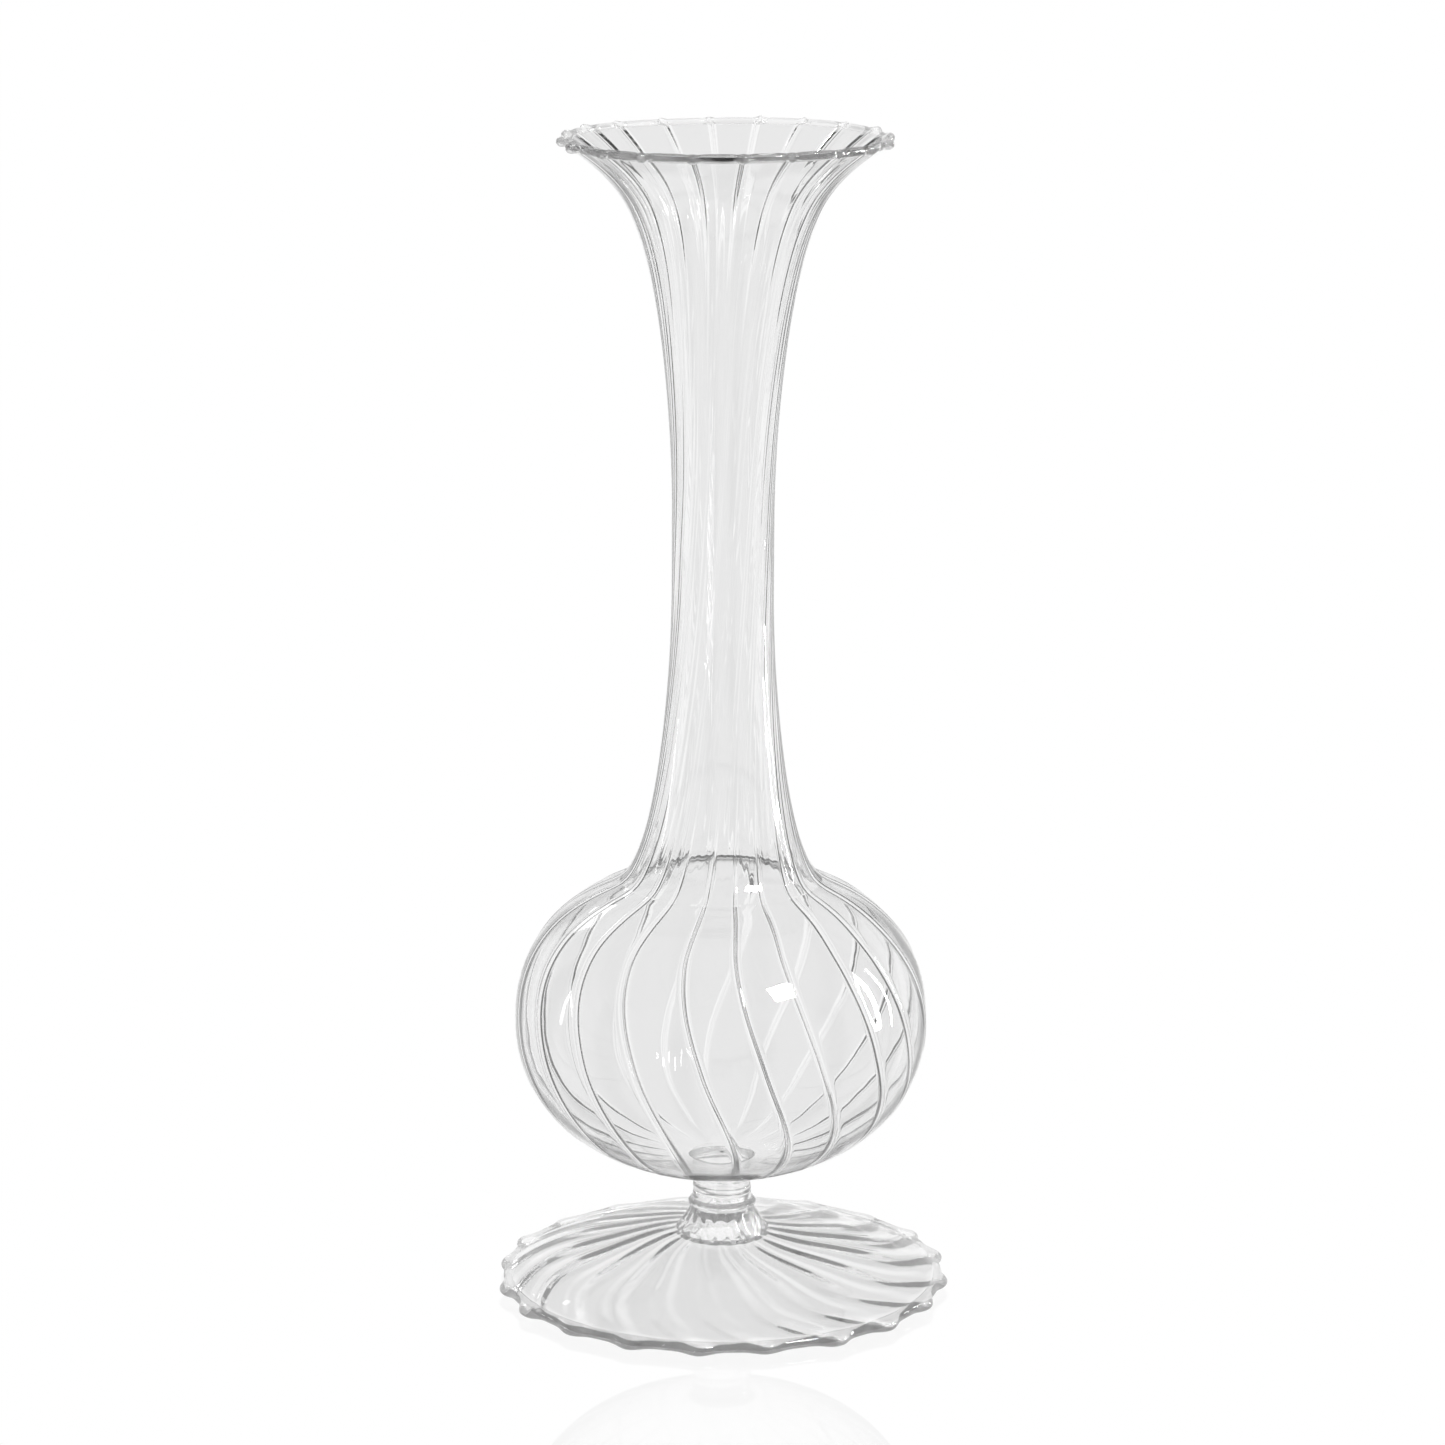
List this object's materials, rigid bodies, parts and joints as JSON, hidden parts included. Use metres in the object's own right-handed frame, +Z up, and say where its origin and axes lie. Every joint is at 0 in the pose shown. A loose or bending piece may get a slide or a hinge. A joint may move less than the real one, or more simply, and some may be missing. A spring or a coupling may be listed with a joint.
{
  "type": "glass bud vase",
  "caption": "Tall clear glass bud vase with a flared beaded mouth, waisted neck, round bulb and spread foot, twisted ribs all over, for a few cut stems in water.",
  "frame": {"origin": "on the vase's axis, on the surface it stands on, at the centre of the foot's rim", "axes": "+Z up along the axis of the vase towards the mouth; -Y is the front; +X is to the right seen from the front"},
  "size_m": [0.0988, 0.0988, 0.254],
  "materials": {
    "wall_glass": "clear blown glass wall, fire-polished",
    "rib_glass": "clear glass ribs raised from the wall",
    "solid_glass": "clear solid worked glass with soft tooling rings",
    "edge_glass": "clear fire-polished rims and beads"
  },
  "bodies": {
    "root": {"lip_thread": "edge_glass", "lip_nibs": "edge_glass", "mouth_flare": "wall_glass", "mouth_ribs": "rib_glass", "neck": "wall_glass", "neck_ribs": "rib_glass", "bulb": "wall_glass", "bulb_ribs": "rib_glass", "stem": "solid_glass", "stem_ring": "solid_glass", "foot_collar": "solid_glass", "foot_disc": "wall_glass", "foot_ribs": "rib_glass", "foot_rim": "edge_glass", "foot_beads": "edge_glass"}
  },
  "joints": []
}
